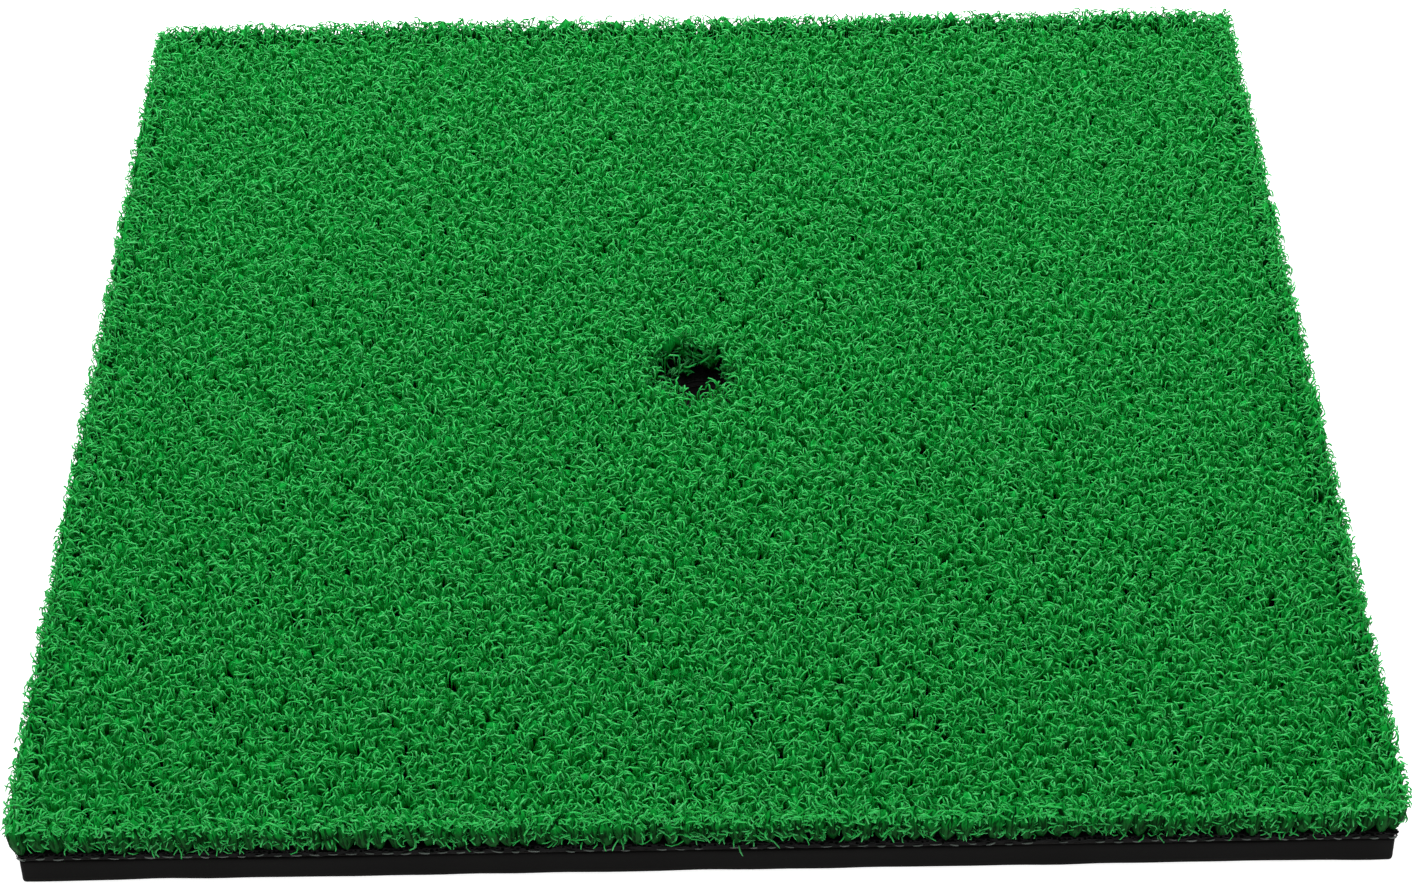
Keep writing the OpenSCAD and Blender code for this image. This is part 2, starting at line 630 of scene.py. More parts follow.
@dataclass
class Filaments:
    """Many closed filaments or bundles, each a section carried along its own path, with a point at each end.

    The first and last point of a path are the two poles; a section stands round each of the others.
    """

    paths: Array
    side_ways: Array
    width: Array
    thickness: Array
    shade: Array
    sides: int = 3
    map_span: float = 0.8 / 64

    MAP = "OFBake"
    COLUMNS = 64

    def part(self, chosen: Array) -> "Filaments":
        """Take the chosen filaments."""
        arrays = (self.paths, self.side_ways, self.width, self.thickness, self.shade)
        return Filaments(*(array[chosen] for array in arrays), self.sides, self.map_span)

    def points(self) -> Array:
        """Work out the poles and the sections between them.

        A section's corners stand at equal angles on an ellipse, whose one axis is the given sideways
        direction and whose other is square to it and to the path.

        Returns:
            Points of shape (filaments, rings * sides + 2, 3): the sections, then the first and last pole.
        """
        inner = self.paths[:, 1:-1]
        along = unit(self.paths[:, 2:] - self.paths[:, :-2])
        ways = self.side_ways[:, 1:-1]
        side = unit(ways - along * (ways * along).sum(-1, keepdims=True))
        other = np.cross(along, side)
        turn = np.arange(self.sides) * 2 * math.pi / self.sides
        across = side[:, :, None] * np.cos(turn)[:, None] * self.width[..., None, None]
        through = other[:, :, None] * np.sin(turn)[:, None] * self.thickness[..., None, None]
        rings = inner[:, :, None] + (across + through) / 2
        return np.concatenate([rings.reshape(len(inner), -1, 3), self.paths[:, :1], self.paths[:, -1:]], 1)

    def build(self, name: str, material: Material) -> Object:
        """Make one piece of all the filaments.

        On the map, a filament starts at its own shade and is a narrow strip from there; its length runs
        from 0 to 1.

        Args:
            name: the piece's name.
            material: the finish that it wears.

        Returns:
            The piece.
        """
        count, rings, sides = len(self.paths), self.paths.shape[1] - 2, self.sides
        points = self.points()
        first = (np.arange(count) * points.shape[1])[:, None, None]
        ring, side = np.divmod(np.arange((rings - 1) * sides), sides)
        after, base, last = (side + 1) % sides, ring * sides, (rings - 1) * sides
        quad = np.stack([base + side, base + after, base + sides + after, base + sides + side], 1)
        turn = np.arange(sides)
        following = (turn + 1) % sides
        start = np.stack([0 * turn + rings * sides, following, turn], 1)
        finish = np.stack([last + turn, last + following, 0 * turn + rings * sides + 1], 1)
        quad_u = np.stack([side, side + 1, side + 1, side], 1)
        quad_v = np.stack([ring, ring, ring + 1, ring + 1], 1) + 1
        pole_u = np.stack([turn + 0.5, turn + 1, turn], 1)
        pole_u = np.concatenate([pole_u, pole_u[:, ::-1]])
        pole_v = np.repeat([[0, 1, 1], [rings, rings, rings + 1]], sides, 0)
        faces, maps = [], []
        for corners, u, v in ((quad, quad_u, quad_v), (np.concatenate([start, finish]), pole_u, pole_v)):
            faces.append((first + corners[None]).reshape(-1, corners.shape[1]))
            across = self.shade[:, None, None] + u[None] * (self.map_span / sides)
            up = np.broadcast_to(v / (rings + 1), across.shape)
            maps.append(np.stack([across, up], -1).reshape(-1, 2))
        return make_piece(name, points.reshape(-1, 3), faces, material, True, np.concatenate(maps))


def column_shade(light: Array) -> Array:
    """Left edge of the map's column for each filament's lightness, from 0 for dark to 1 for light."""
    return (np.floor(np.clip(light, 0, 0.9999) * Filaments.COLUMNS) + 0.1) / Filaments.COLUMNS


@dataclass
class Curl:
    """How filaments curl: the heading they start with, the length of a stretch and the turn at each."""

    heading: Array
    step: Array
    bend: Array
    roll: Array

    def paths(self, roots: Array) -> tuple[Array, Array]:
        """Carry each filament forward from its root, turning a little at every stretch.

        At each stretch the direction turns by that stretch's bend about an axis square to it, and the axis
        itself has first been rolled about the direction. With no roll the filament bows over and down.

        Args:
            roots: where the filaments start.

        Returns:
            The paths and the bending axis at each of their points.
        """
        heading = unit(self.heading)
        axis = unit(np.cross(UP, heading) + np.array([1e-6, 0, 0]))
        points, axes = [roots], []
        for number in range(self.bend.shape[1]):
            roll, bend = self.roll[:, number, None], self.bend[:, number, None]
            axis = unit(axis * np.cos(roll) + np.cross(heading, axis) * np.sin(roll))
            axes.append(axis)
            points.append(points[-1] + heading * self.step[:, None])
            heading = unit(heading * np.cos(bend) + np.cross(axis, heading) * np.sin(bend))
        axes.append(axis)
        return np.stack(points, 1), np.stack(axes, 1)


# --- The mat's layers ---


@dataclass
class FoamPad:
    """The closed-cell foam slab that the mat stands on, die cut with a slightly wavy wall."""

    hole: float
    finish: SkinFinish = SkinFinish(
        "black_foam", dark=(0.0022, 0.0020, 0.0019), light=(0.0038, 0.0035, 0.0033), roughness=(0.5, 0.62),
        gloss=0.045, grain_scale=2600.0, blotch_scale=45.0, bump=0.25, bump_depth=0.06 * MM,
    )

    def build(self) -> Object:
        """Make the slab; its wall follows two slow ripples, one at its foot and one at its top.

        Returns:
            The piece.
        """
        slab = PunchedSlab("foam_pad", self.hole, step=4.0 * MM, edge=0.45 * MM, swing=0.16 * MM, waste=0.6)
        piece = slab.piece("foam_pad_skin", slab.wave(3, 34 * MM, 55 * MM), self.finish.material())
        return settle(piece, "foam", "foam_pad")


@dataclass
class LatexCoat:
    """The black latex coat over the back-stitches, with a lumpy cut edge."""

    hole: float
    finish: SkinFinish = SkinFinish(
        "black_latex", dark=(0.0014, 0.0014, 0.0014), light=(0.0045, 0.0045, 0.0044), roughness=(0.36, 0.62),
        gloss=0.05, grain_scale=1500.0, blotch_scale=300.0, bump=0.5, bump_depth=0.12 * MM,
    )

    def build(self) -> Object:
        """Make the coat; two short ripples and a slow one make its edge lumpy.

        Returns:
            The piece.
        """
        sizes = {"step": 1.4 * MM, "edge": 0.25 * MM, "swing": 0.28 * MM, "waste": 0.9}
        slab = PunchedSlab("latex_coat", self.hole, **sizes, wall_rings=2, face_rings=1)
        lumps = slab.wave(11, 3.6 * MM, 2.2 * MM) + 0.6 * slab.wave(13, 17 * MM)
        return settle(slab.piece("latex_skin", lumps, self.finish.material()), "latex", "latex_coat")


@dataclass
class BackingCloth:
    """The woven cloth that carries the tufts, with the ends of its tapes standing out where it was cut."""

    hole: float
    tape_width: float = 1.1 * MM
    tape_half: float = 0.05 * MM
    fray: float = 0.8 * MM
    tucked: float = 0.6 * MM
    # Its second colour is painted shade in the weave's gaps.
    weave: WeaveFinish = WeaveFinish("black_weave", (0.003, 0.0034, 0.0032), (0.001, 0.001, 0.001))
    tape: SkinFinish = SkinFinish(
        "black_tape", dark=(0.002, 0.0024, 0.0022), light=(0.005, 0.006, 0.0055), roughness=(0.35, 0.55),
        gloss=0.1, grain_scale=900.0, blotch_scale=500.0, bump=0.2, bump_depth=0.05 * MM,
    )

    def build(self) -> Object:
        """Make the cloth and its frayed ends.

        Returns:
            The cloth.
        """
        low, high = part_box("backing_cloth")
        sizes = {"step": 2.0 * MM, "edge": 0.2 * MM, "swing": 0.25 * MM, "waste": 1.0}
        slab = PunchedSlab("backing_cloth", self.hole, **sizes, wall_rings=1, face_rings=3)
        piece = slab.piece("woven_cloth", slab.wave(21, 5 * MM), self.weave.material())
        settle(piece, "cloth", "backing_cloth")
        flat, ends = (high.x - low.x, high.y - low.y), self.tape_ends(low.z, high.z)
        return piece

    def tape_ends(self, low: float, high: float) -> Object:
        """Make the cut ends of the tapes: flat strips with four corners at each end, that droop a little.

        Args:
            low: height of the cloth's underside.
            high: height of its top.

        Returns:
            The piece.
        """
        rng = np.random.default_rng(22)
        points, outward, _ = Outline("backing_cloth", self.tape_width).walk()
        count, side = len(points), sideways(outward)
        reach = self.fray * rng.beta(1.6, 3.0, count)
        run = np.stack([np.full(count, -self.tucked), reach], 1)
        sway = rng.normal(0, 0.25, (count, 1)) * run.clip(0)
        flat = points[:, None] + outward[:, None] * run[..., None] + side[:, None] * sway[..., None]
        middle = rng.uniform(low + 0.15 * MM, high - 0.1 * MM, (count, 1))
        drop = rng.normal(-0.2, 0.35, (count, 1)) * run.clip(0)
        height = np.clip(middle + drop, low + 0.05 * MM, high)
        half = 0.42 * self.tape_width * rng.uniform(0.5, 1.0, (count, 1, 1))
        corner = np.array([[-1, -1], [1, -1], [1, 1], [-1, 1]])
        place = flat[:, :, None] + side[:, None, None] * (corner[:, :1] * half[..., None])
        tall = height[:, :, None] + self.tape_half * corner[:, 1]
        strip = np.concatenate([place, tall[..., None]], -1)
        turn = np.arange(4)
        after = (turn + 1) % 4
        quad = np.concatenate([np.stack([turn, after, after + 4, turn + 4], 1), [[3, 2, 1, 0], [4, 5, 6, 7]]])
        faces = (np.arange(count)[:, None, None] * 8 + quad[None]).reshape(-1, 4)
        piece = make_piece("cloth_tape_ends", strip.reshape(-1, 3), [faces], self.tape.material(), False)
        return settle(piece, "cloth")


@dataclass
class BackStitches:
    """The yarn's underside: stitches under each row, and the dashes that the cuts bare."""

    hole: float
    stitch: float = 4.0 * MM
    swelling: float = 8.0 * MM
    thick: float = 1.2 * MM
    # As in all the yarn, the root colour is darker than the tip: painted shade.
    finish: YarnFinish = YarnFinish(
        "latexed_yarn", (0.02, 0.03, 0.024), (0.055, 0.075, 0.062), (0.14, 0.16, 0.15), (0.22, 0.4), 0.5
    )

    def build(self) -> Object:
        """Make the rows of stitches and the dashes along the cuts.

        A row is two filaments along X that swell and shrink with every other stitch. They meet in the middle,
        or stop on both sides of the tee hole: at its circle's half width at their own Y.

        Returns:
            The rows.
        """
        low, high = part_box("back_stitches")
        rng = np.random.default_rng(31)
        half = high.x - 0.05 * MM
        lines = round((high.y - low.y) / ROW_PITCH) + 1
        at_y = np.tile(np.linspace(-(lines - 1) / 2, (lines - 1) / 2, lines) * ROW_PITCH, 2)[:, None]
        side = np.repeat([-1.0, 1.0], lines)[:, None]
        clear = self.hole + 0.8 * MM
        start = np.sqrt(np.maximum(clear**2 - np.maximum(np.abs(at_y) - self.thick / 2, 0) ** 2, 0))
        count = 2 * round(half / self.swelling) + 1
        x = side * (start + (half - start) * np.linspace(0, 1, count))
        swell = np.where(np.arange(1, count - 1) % 2 == 1, 1.0, 0.45)
        height = high.z - 0.32 * self.thick + 0 * x
        path = np.stack([x, at_y + rng.normal(0, 0.06 * MM, x.shape), height], -1)
        size = self.thick * swell * rng.uniform(0.85, 1.1, (len(x), count - 2))
        ways = np.broadcast_to([0.0, 1.0, 0.0], path.shape)
        rows = Filaments(path, ways, size, size * 0.6, column_shade(rng.random(len(x))))
        material = self.finish.material()
        piece = settle(rows.build("stitch_rows", material), "stitch_yarn", "back_stitches")
        self.dashes(material)
        return piece

    def dashes(self, material: Material) -> Object:
        """Make the stitches bared at the edges: along the front and back cuts, and end on at the sides.

        Args:
            material: the yarn's finish.

        Returns:
            The piece.
        """
        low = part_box("latex_coat")[0].z
        rng = np.random.default_rng(32)
        points, outward, _ = Outline("latex_coat", self.stitch).walk()
        keep = rng.random(len(points)) < 0.93
        points, outward = points[keep], outward[keep]
        count, side = len(points), sideways(outward)
        along_x = np.abs(outward[:, 1]) > 0.7
        long = np.where(along_x, rng.uniform(1.9, 3.0, count), rng.uniform(0.8, 1.4, count)) * MM
        share = np.array([-1.0, -0.75, -0.3, 0.25, 0.75, 1.0])
        flat = points[:, None] + side[:, None] * (share[None, :, None] * long[:, None, None] / 2)
        sink = (0.02 + 0.3 * share**4) * MM
        flat = flat - outward[:, None] * sink[None, :, None]
        tilt = rng.normal(0, 0.08, (count, 1)) * share[None] * long[:, None]
        height = low + rng.normal(0.62, 0.12, (count, 1)).clip(0.35, 0.95) * MM + tilt
        path = np.concatenate([flat, height[..., None]], -1)
        size = (1 - 0.5 * share[1:-1] ** 2)[None] * rng.uniform(0.34, 0.58, (count, 1)) * MM
        way = np.broadcast_to(UP, path.shape)
        lumps = Filaments(path, way, size, size * 0.9, column_shade(rng.random(count)))
        return settle(lumps.build("cut_stitches", material), "stitch_yarn")


@dataclass
class Clearing:
    """The opening in the pile round the tee hole: ragged and off centre, one tuft missing on its left."""

    turns: tuple[float, ...] = (-136, -123, -90, -44, 0, 22, 50, 85, 114, 133, 166, 201)
    reaches: tuple[float, ...] = (8.2, 8.5, 7.9, 7.2, 6.4, 6.2, 6.9, 7.4, 9.2, 11.4, 11.6, 9.0)

    def reach(self, flat: Array) -> Array:
        """Distance from the hole's middle to the clearing's edge, in the direction of each place.

        The edge is read off a closed curve of distance against direction.

        Args:
            flat: places in the plane, in metres.

        Returns:
            The distances, in metres.
        """
        turn = np.degrees(np.arctan2(flat[..., 1], flat[..., 0]))
        return np.interp(turn, self.turns, self.reaches, period=360.0) * MM


class Standing(Enum):
    """Where a tuft stands, which settles how its filaments grow and fall."""

    FIELD = 0
    EDGE = 1
    RIM = 2
    WORN = 3


class Growth(Enum):
    """Kinds of filament, by the number of stretches that each is carried through."""

    CURL = 5
    THATCH = 4


@dataclass(frozen=True)
class Habit:
    """How the filaments of one kind grow on tufts of one standing; heights are in mm above the cloth."""

    number: int
    root: Span
    tilt: Span
    outward: Span = (0.0, 0.0)
    top: Span = (30.0, 30.0)
    # light: painted shade, the span of map columns from the lowest filament to the highest
    light: Span = (0.0, 1.0)


# The darker light spans at the edges and round the tee hole (rim, worn) are painted shade.
HABITS = {
    (Growth.CURL, Standing.FIELD): Habit(3, (5.0, 5.4), (0.3, 1.4), light=(0.3, 1.0)),
    (Growth.CURL, Standing.EDGE): Habit(16, (1.5, 9.6), (0.3, 1.6), (-0.6, 0.6), light=(0.2, 1.0)),
    (Growth.CURL, Standing.RIM): Habit(10, (2.0, 8.0), (0.05, 0.8), light=(0.05, 0.9)),
    (Growth.CURL, Standing.WORN): Habit(3, (0.4, 1.5), (0.1, 0.9), top=(2.0, 4.5), light=(0.0, 0.25)),
    (Growth.THATCH, Standing.FIELD): Habit(8, (4.6, 5.4), (0.4, 1.5), light=(0.3, 0.95)),
    (Growth.THATCH, Standing.EDGE): Habit(32, (1.0, 10.2), (0.4, 1.7), (-0.5, 0.6), light=(0.0, 0.95)),
    (Growth.THATCH, Standing.RIM): Habit(26, (0.8, 8.3), (0.2, 1.2), light=(0.0, 0.85)),
    (Growth.THATCH, Standing.WORN): Habit(8, (0.3, 1.2), (0.2, 1.3), top=(1.2, 3.8), light=(0.0, 0.2)),
}


@dataclass
class Tufts:
    """The tufts' places in the plane, row after row, and how each stands.

    Out is a tuft's way out of the mat, for those at its edge; drape is how low a tuft hangs there.
    """

    places: Array
    standing: Array
    out: Array
    drape: Array

    def are(self, standing: Standing) -> Array:
        """Tell which tufts have the given standing."""
        return self.standing == standing.value


@dataclass
class Pile:
    """The turf: rows of tufts, each a packed core with a crown of long curls and a thatch of short ones.

    Shoulder, hangs_below and lifts_above are heights of a filament's root, in mm above the cloth.
    """

    hole: float
    clearing: Clearing
    stitch: float = 3.5 * MM
    bands: int = 6
    overhang: float = 2.8 * MM
    seed: int = 7
    width: float = 0.49 * MM
    bluntness: float = 0.35
    splay: Span = (0.6, 1.0)
    setback: float = 0.9 * MM
    shoulder: float = 8.3
    hangs_below: float = 4.5
    lifts_above: float = 5.6
    outermost: float = 0.6 * ROW_PITCH
    # Root colour darker than the tip: painted shade deep in the pile.
    finish: YarnFinish = YarnFinish(
        "green_yarn", (0.010, 0.45, 0.055), (0.019, 0.51, 0.092), (0.09, 0.55, 0.172)
    )
    field_core: BundleFinish = BundleFinish(
        "green_core", (0.003, 0.2, 0.02), (0.003, 0.3, 0.032), (0.006, 0.46, 0.06)
    )
    # Darker copies of the core finish: painted shade on the tufts at the mat's edges and round the tee hole.
    shaded_edge_core: BundleFinish = BundleFinish(
        "shaded_edge_core", (0.0, 0.016, 0.0016), (0.0, 0.065, 0.0065), (0.002, 0.3, 0.032), (0.6, 0.92)
    )
    shaded_rim_core: BundleFinish = BundleFinish(
        "shaded_core", (0.0, 0.01, 0.001), (0.0, 0.03, 0.003), (0.0, 0.2, 0.018), (0.4, 1.0)
    )

    def tufts(self) -> Tufts:
        """Place the tufts: even rows and even stitches, each tuft a little out of place.

        Those that the tee hole cut away are left out.

        Returns:
            The tufts.
        """
        low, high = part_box("backing_cloth")
        limit = np.array([high.x, high.y]) - self.setback
        rng = np.random.default_rng(self.seed)
        rows, columns = round((high.y - low.y) / ROW_PITCH), round((high.x - low.x) / self.stitch)
        y, x = (np.linspace(-end, end, count) for end, count in ((limit[1], rows), (limit[0], columns)))
        y, x = np.meshgrid(y, x, indexing="ij")
        shift = np.where(np.arange(rows) % 2 == 0, 0.25, -0.25)[:, None]
        loose = np.where(np.maximum(np.abs(x) - limit[0], np.abs(y) - limit[1]) > -0.1 * MM, 0.3, 1.0)
        inner = np.abs(x) < limit[0] - 0.1 * MM
        x = x + shift * self.stitch * inner + loose * rng.normal(0, 0.5 * MM, x.shape)
        y = y + rng.normal(0, 0.45 * MM, y.shape)
        places = np.stack([x.ravel(), y.ravel()], 1)
        places = np.sign(places) * (limit - np.abs(np.abs(places) - limit))
        far = np.linalg.norm(places, axis=1)
        kept = far > self.hole + 1.3 * MM
        places, far = places[kept], far[kept]
        inside = limit + self.setback - np.abs(places)
        outer = inside < self.outermost
        reach = self.clearing.reach(places)
        standing = np.full(len(places), Standing.FIELD.value)
        standing[outer.any(1)] = Standing.EDGE.value
        standing[far < reach + 4.0 * MM] = Standing.RIM.value
        standing[far < reach + 0.6 * MM] = Standing.WORN.value
        corner = np.exp(-inside.max(1) / (7 * MM))
        out = unit(np.sign(places) * outer + 1e-9) * self.splay * (1 - 1.1 * corner).clip(0)[:, None]
        return Tufts(places, standing, out, ripple(places.sum(1), 60 * MM, 41) - 2.5 * corner)

    def build(self) -> list[Object]:
        """Make the cores, then each kind of filament in bands of rows, then the loose ends at the tee hole.

        Returns:
            The pieces.
        """
        low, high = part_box("tuft_rows")
        tufts = self.tufts()
        pieces = self.cores(tufts, low.z)
        material = self.finish.material()
        for growth in Growth:
            number = np.array([HABITS[growth, kind].number for kind in Standing])
            tuft = np.repeat(np.arange(len(tufts.places)), number[tufts.standing])
            grown = self.filaments(growth, tufts, tuft, low.z, high.z)
            for band, chosen in enumerate(np.array_split(np.arange(len(tuft)), self.bands)):
                piece = grown.part(chosen).build(f"pile_{growth.name.lower()}_{band + 1}", material)
                pieces.append(settle(piece, "pile_yarn", "tuft_rows"))
        pieces.append(self.loose_ends(material))
        return pieces

    def filaments(self, growth: Growth, tufts: Tufts, tuft: Array, low: float, high: float) -> Filaments:
        """Work out every filament of one kind.

        In the field a filament leaves the top of its core and is moved up or down to reach the pile's top.
        Elsewhere it leaves its core at any height; on the mat's edges it also leans outwards.

        Args:
            growth: the kind of filament.
            tufts: the tufts.
            tuft: the number of the tuft that each filament belongs to.
            low: height of the cloth that they stand on.
            high: height of the pile's top.

        Returns:
            The filaments.
        """
        rng = np.random.default_rng(self.seed + growth.value)
        count, total = len(tuft), len(tufts.places)
        place, kind, out = tufts.places[tuft], tufts.standing[tuft], tufts.out[tuft]
        field, edge, worn = (tufts.are(each)[tuft] for each in (Standing.FIELD, Standing.EDGE, Standing.WORN))

        def limits(name: str) -> Array:
            """Look up the two limits of the given name in each filament's habit."""
            return np.array([getattr(HABITS[growth, each], name) for each in Standing])[kind].T

        def drawn(name: str) -> Array:
            """Draw one number for each filament, between its habit's limits of the given name."""
            least, most = limits(name)
            return least + (most - least) * rng.random(count)

        # Where each filament leaves its core, and its first heading
        azimuth = rng.random(total)[tuft] * 2 * math.pi + np.arange(count) * 2.4 + rng.normal(0, 0.4, count)
        way = np.stack([np.cos(azimuth), np.sin(azimuth)], 1)
        tilt, root = drawn("tilt"), drawn("root")
        hang = tufts.drape + rng.normal(0, 0.45, total)
        hang = np.where(edge, (0.9 + 0.22 * hang[tuft]).clip(0.5, 1.1), 1.0)
        root = self.shoulder - (self.shoulder - root) * hang
        heading = np.concatenate([way * np.sin(tilt)[:, None], np.cos(tilt)[:, None]], 1)
        hanging = edge & (root < self.hangs_below)
        clump = rng.normal(0, 1, (total, 2))[tuft] * hanging[:, None]
        heading[:, :2] += out * (drawn("outward") + 0.35 * clump[:, 0])[:, None]

        # The curl
        turns = (count, growth.value)
        longer = 1 + (0.12 + 0.15 * clump[:, 1].clip(-1, 1.5)) * hanging
        curl = Curl(
            heading=heading,
            step=rng.uniform(0.74, 1.12, count) * longer * MM,
            bend=(rng.normal(0.58, 0.17, (count, 1)) * rng.uniform(0.4, 1.6, turns)).clip(0.05, 1.1),
            roll=rng.normal(0, 0.45, turns) + rng.normal(0, 1.2, (count, 1)) * (np.arange(growth.value) == 0),
        )
        spread = rng.uniform(0.1, 1.7, (count, 1)) * MM * np.where(field | edge, 1.0, 0.5)[:, None]
        lean = out * (edge * 1.8 * MM * (root / self.shoulder).clip(0, 1) ** 1.5)[:, None]
        paths, axes = curl.paths(np.concatenate([place + way * spread + lean, (low + root * MM)[:, None]], 1))

        # How high it reaches and how low it hangs
        short = growth is Growth.THATCH
        sunk = rng.uniform(0.3, 3.0, count) if short else np.abs(rng.normal(0, 0.85, count))
        top = high + (0.2 - sunk + rng.normal(-0.2, 0.3, total)[tuft]) * MM
        top = np.minimum(top, low + drawn("top") * MM)
        lift = top - paths[:, 1:, 2].max(1)
        lifted = field | worn | (root > self.lifts_above)
        paths[:, 1:, 2] += np.where(lifted, lift, np.minimum(lift, 0.0))[:, None]
        paths[:, 0, 2] = np.minimum(paths[:, 0, 2], paths[:, 1, 2] - 0.7 * MM)
        droop = 3.0 * (hang - 1.0).clip(-1.0, 0.0) + rng.exponential(0.8, count).clip(0, 2.6) * hang
        least = low - np.where(edge, droop, -0.1) * MM
        paths[:, :, 2] = np.maximum(paths[:, :, 2], least[:, None])
        self.clear(paths, worn, rng)
        self.trim(paths)
        paths[:, -1] = paths[:, -2] + self.bluntness * (paths[:, -1] - paths[:, -2])

        # Its size, and its shade: painted shade, a darker column the lower it reaches, plus a random tone
        rings = paths.shape[1] - 2
        taper = np.where(np.arange(rings) == rings - 1, 0.8, 1.0)
        width = self.width * rng.uniform(0.8, 1.2, (count, 1)) * taper * np.where(hanging, 0.8, 1.0)[:, None]
        darkest, lightest = limits("light")
        height = np.clip((paths[:, :, 2].max(1) - low) / (high - low), 0, 1) ** 1.5
        light = darkest + (lightest - darkest) * height + rng.normal(0, 0.12, count)
        return Filaments(paths, axes, width, width * rng.uniform(0.55, 0.9, (count, 1)), column_shade(light))

    def clear(self, paths: Array, worn: Array, rng: np.random.Generator) -> None:
        """Push filaments out of the clearing, each to a distance of its own; worn tufts only leave the hole.

        Args:
            paths: the filaments' paths, changed in place.
            worn: whether each filament grows on a worn tuft.
            rng: the seeded source of chance.
        """
        flat = paths[:, :, :2]
        away = np.linalg.norm(flat, axis=-1)
        reach = np.where(worn[:, None], self.hole + 0.4 * MM, self.clearing.reach(flat))
        least = reach + rng.uniform(-0.6, 0.6, (len(paths), 1)) * MM
        flat *= np.maximum(1.0, np.maximum(least, self.hole - 0.3 * MM) / np.maximum(away, 1e-6))[..., None]

    def trim(self, paths: Array) -> None:
        """Keep filaments near the cloth: their overhang grows as a tanh of its free length.

        Args:
            paths: the filaments' paths, changed in place.
        """
        cloth = np.asarray(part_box("backing_cloth")[1])[:2]
        flat = paths[:, :, :2]
        past = np.maximum(np.abs(flat) - cloth, 0.0)
        flat -= np.sign(flat) * (past - self.overhang * np.tanh(past / self.overhang))

    def cores(self, tufts: Tufts, low: float) -> list[Object]:
        """Make the tufts' cores: five-sided bundles that swell upwards and close in a blunt point.

        Those of the field, of the edges and of the hole's surroundings are a piece each.

        Args:
            tufts: the tufts.
            low: height of the cloth that they stand on.

        Returns:
            The pieces.
        """
        rng = np.random.default_rng(self.seed + 2)
        count = len(tufts.places)
        rise = np.array([-0.05, 0.0, 2.4, 6.0, 8.2]) * MM
        widths = [[1.5, 2.9, 4.7], [2.2, 4.3, 4.9], [0.9, 1.7, 2.8], [0.9, 1.7, 2.8]]
        size = np.array(widths)[tufts.standing] * MM
        scale = np.array([1.0, 1.3, 0.6, 0.2])[tufts.standing]
        field, edge = tufts.are(Standing.FIELD), tufts.are(Standing.EDGE)
        path = np.empty((count, 5, 3))
        sway = rng.normal(0, 0.2 * MM, (count, 1, 2)) * np.array([0, 0, 0.5, 1.2, 1.8])[:, None]
        lean = (tufts.out * edge[:, None])[:, None] * (np.array([0, 0, 0.3, 1.0, 1.5]) * MM)[:, None]
        path[..., :2] = tufts.places[:, None] + sway + lean
        path[..., 2] = low + rise * (rng.uniform(0.86, 1.1, count) * scale)[:, None]
        turn = rng.random(count) * 2 * math.pi
        way = np.stack([np.cos(turn), np.sin(turn), 0 * turn], 1)[:, None]
        width = size * rng.uniform(0.8, 1.15, (count, 3))
        ways = np.broadcast_to(way, path.shape)
        bundles = Filaments(path, ways, width, width, rng.uniform(0.0, 0.5, count), sides=5, map_span=0.5)
        # The edge and rim cores wear darker copies of the core finish: painted shade.
        kinds = (
            ("tuft_cores", field, self.field_core),
            ("edge_cores", edge, self.shaded_edge_core),
            ("rim_cores", ~field & ~edge, self.shaded_rim_core),
        )
        return [
            settle(bundles.part(chosen).build(name, finish.material()), "pile_yarn", "tuft_rows")
            for name, chosen, finish in kinds
        ]

    def loose_ends(self, material: Material) -> Object:
        """Make the filaments pulled loose at the tee hole: a standing loop on its left, three ends behind it.

        Args:
            material: the yarn's finish.

        Returns:
            The piece.
        """
        loop = [(-8.4, 3.2, 10.5), (-8.7, 3.0, 14.0), (-8.6, 3.0, 18.4), (-7.4, 2.9, 19.4)]
        loop += [(-5.3, 2.9, 19.2), (-4.9, 3.0, 17.8), (-5.1, 3.0, 14.0), (-5.6, 3.6, 10.4)]
        left = [(-4.8, 8.2, 11.4), (-3.9, 6.8, 12.3), (-3.3, 5.8, 12.8), (-2.6, 5.6, 13.1)]
        left += [(-1.9, 5.7, 13.4), (-1.4, 5.9, 13.6), (-0.9, 6.3, 13.6), (-0.4, 6.8, 13.4)]
        middle = [(0.9, 8.0, 12.0), (0.3, 6.9, 13.4), (0.2, 5.9, 14.2), (0.9, 5.6, 14.9)]
        middle += [(1.6, 5.8, 15.4), (2.1, 6.1, 15.7), (2.5, 6.5, 15.8), (2.9, 6.9, 15.6)]
        right = [(5.2, 7.7, 13.6), (4.4, 6.9, 14.6), (3.7, 6.2, 15.0), (4.1, 6.0, 15.5)]
        right += [(4.6, 6.2, 15.9), (5.0, 6.4, 16.0), (5.4, 6.7, 15.9), (5.8, 7.0, 15.7)]
        paths = np.array([loop, left, middle, right]) * MM
        size = np.full((len(paths), paths.shape[1] - 2), self.width)
        ways = np.broadcast_to([0.2, 0.3, 1.0], paths.shape)
        loose = Filaments(paths, ways, size, size * 0.8, column_shade(np.array([0.75, 0.95, 0.9, 0.9])))
        return settle(loose.build("pile_loose_ends", material), "pile_yarn", "tuft_rows")


# --- Studio ---


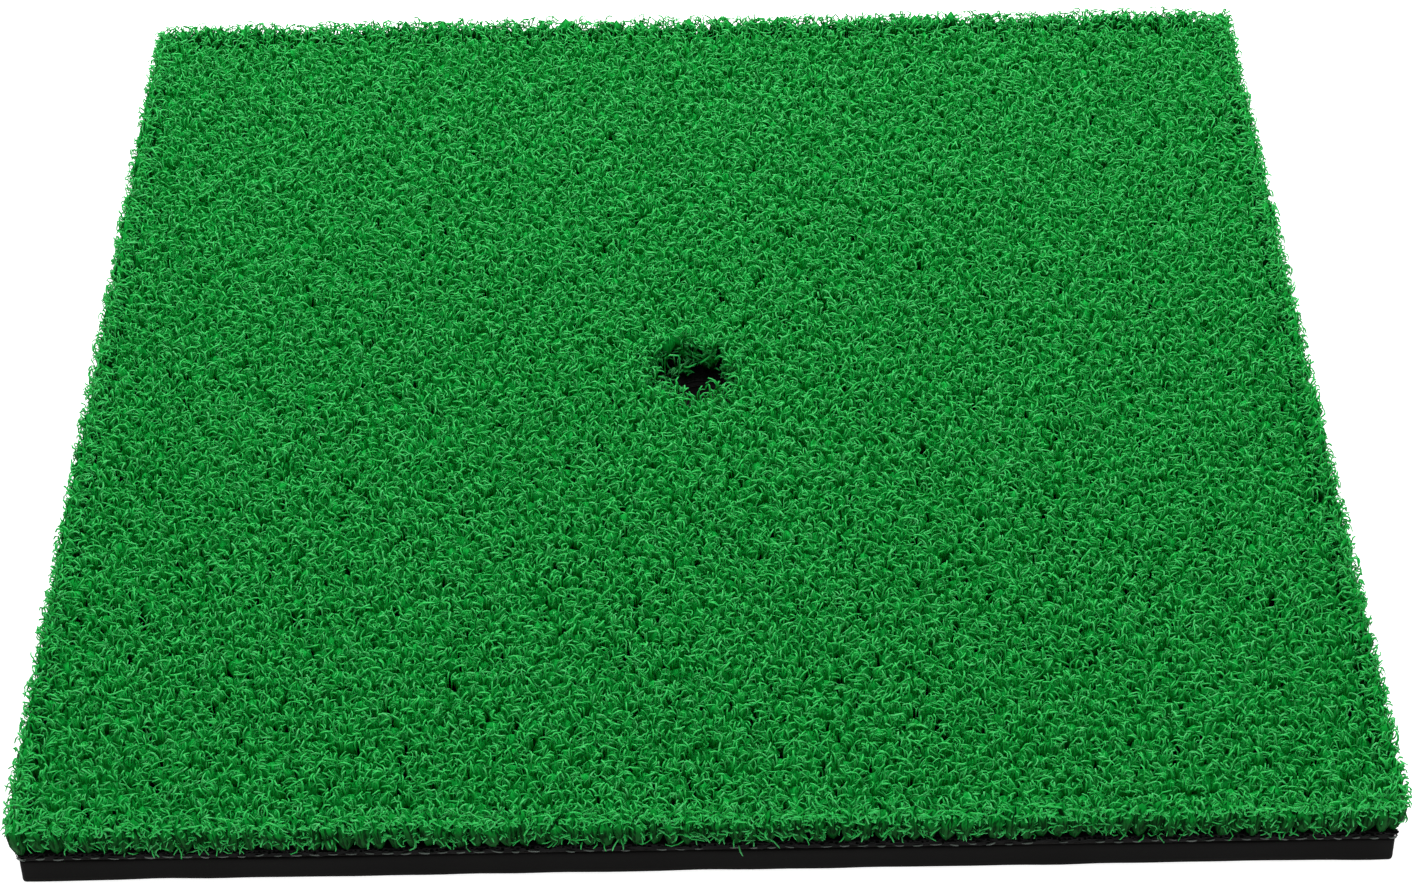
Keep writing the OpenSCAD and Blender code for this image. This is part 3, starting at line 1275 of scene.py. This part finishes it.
@dataclass
class Studio:
    """A pale floor, soft light from above, and the camera in front of the mat."""

    place: Colour = (-0.00024, -0.62939, 0.54874)
    turn: Colour = (48.52, 0.63, -0.70)
    lens: float = 84.18
    floor_size: float = 6.0
    floor_glow: float = 0.7

    def build(self) -> None:
        """Make the camera, the lights, the surroundings and the floor."""
        scene = bpy.context.scene
        scene.view_settings.view_transform = "Standard"
        data = bpy.data.cameras.new("camera")
        data.lens = self.lens
        data.sensor_width = 36.0
        camera = bpy.data.objects.new("camera", data)
        camera.location = self.place
        camera.rotation_euler = Euler([math.radians(angle) for angle in self.turn], "XYZ")
        scene.collection.objects.link(camera)
        scene.camera = camera
        self.surroundings(scene)
        self.panel("top_panel", (0.0, 0.6, 0.6), 0.6, 8.2)
        self.floor()

    def surroundings(self, scene: bpy.types.Scene) -> None:
        """Light the scene evenly from all round, brighter from above than from the sides.

        Args:
            scene: the scene.
        """
        world = bpy.data.worlds.new("studio")
        scene.world = world
        world.use_nodes = True
        sketch = NodeSketch(world.node_tree)
        background = next(n for n in world.node_tree.nodes if n.type == "BACKGROUND")
        up = sketch.add("SeparateXYZ", Vector=sketch.add("TexCoord").outputs["Generated"]).outputs[2]
        seen = sketch.add("LightPath").outputs["Is Camera Ray"]
        strength = sketch.pick(seen, sketch.ramp(up, (0.41, 0.895), (0.0, 0.9)), 1.0)
        sketch.feed(background, Color=(1.0, 1.0, 1.0), Strength=strength)

    def panel(self, name: str, place: Colour, size: float, power: float) -> None:
        """Hang a square soft light over the mat, facing its middle.

        Args:
            name: its name.
            place: where it hangs.
            size: its side, in metres.
            power: its power, in watts.
        """
        data = bpy.data.lights.new(name, "AREA")
        data.size = size
        data.energy = power
        lamp = bpy.data.objects.new(name, data)
        lamp.location = place
        x, y, z = place
        lamp.rotation_euler = Euler((math.atan2(math.hypot(x, y), z), 0.0, math.atan2(y, x) + math.pi / 2))
        bpy.context.scene.collection.objects.link(lamp)

    def floor(self) -> None:
        """Lay the pale floor just under the mat."""
        half = self.floor_size / 2
        plan = np.array([[-half, -half, 0], [half, -half, 0], [half, half, 0], [-half, half, 0]])
        material, sketch, shader = new_material("pale_floor")
        sketch.feed(shader, Base_Color=(0.9, 0.9, 0.9), Roughness=0.9, Specular_IOR_Level=0.0)
        sketch.feed(shader, Emission_Color=(1.0, 1.0, 1.0), Emission_Strength=self.floor_glow)
        make_piece("floor", plan - [0, 0, 0.02 * MM], [np.array([[0, 1, 2, 3]])], material, False)


def dress_glue_film() -> None:
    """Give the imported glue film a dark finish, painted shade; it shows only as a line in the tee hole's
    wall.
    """
    # The glue's colour is darkened far below its own as painted shade, so that its line in the hole reads as
    # shaded.
    finish = SkinFinish(
        "shaded_contact_glue", dark=(0.006, 0.0055, 0.005), light=(0.013, 0.012, 0.0105), roughness=(0.55, 0.75),
        gloss=0.1, grain_scale=1200.0, blotch_scale=200.0, bump=0.3, bump_depth=0.1 * MM,
    )
    film = frame["nodes"]["glue_film"]
    film.data.materials.clear()
    film.data.materials.append(finish.material())
    log.info("%s: kept as packed", film.name)


def corners(box: tuple) -> list[list[float]]:
    """Lowest and highest corner of a box as plain lists of numbers."""
    return [[round(float(value), 6) for value in corner] for corner in box]


def main() -> None:
    """Build the studio and the mat's layers from the pad up."""
    logging.basicConfig(level=logging.INFO, format="%(name)s %(message)s")
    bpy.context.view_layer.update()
    tee_hole = next(m for m in frame["record"]["mounts"] if m["name"] == "tee_hole")
    hole = tee_hole["dims"]["r_mm"] * MM
    Studio().build()
    FoamPad(hole).build()
    dress_glue_film()
    LatexCoat(hole).build()
    BackStitches(hole).build()
    BackingCloth(hole).build()
    Pile(hole, Clearing()).build()


if __name__ == "__main__":
    main()
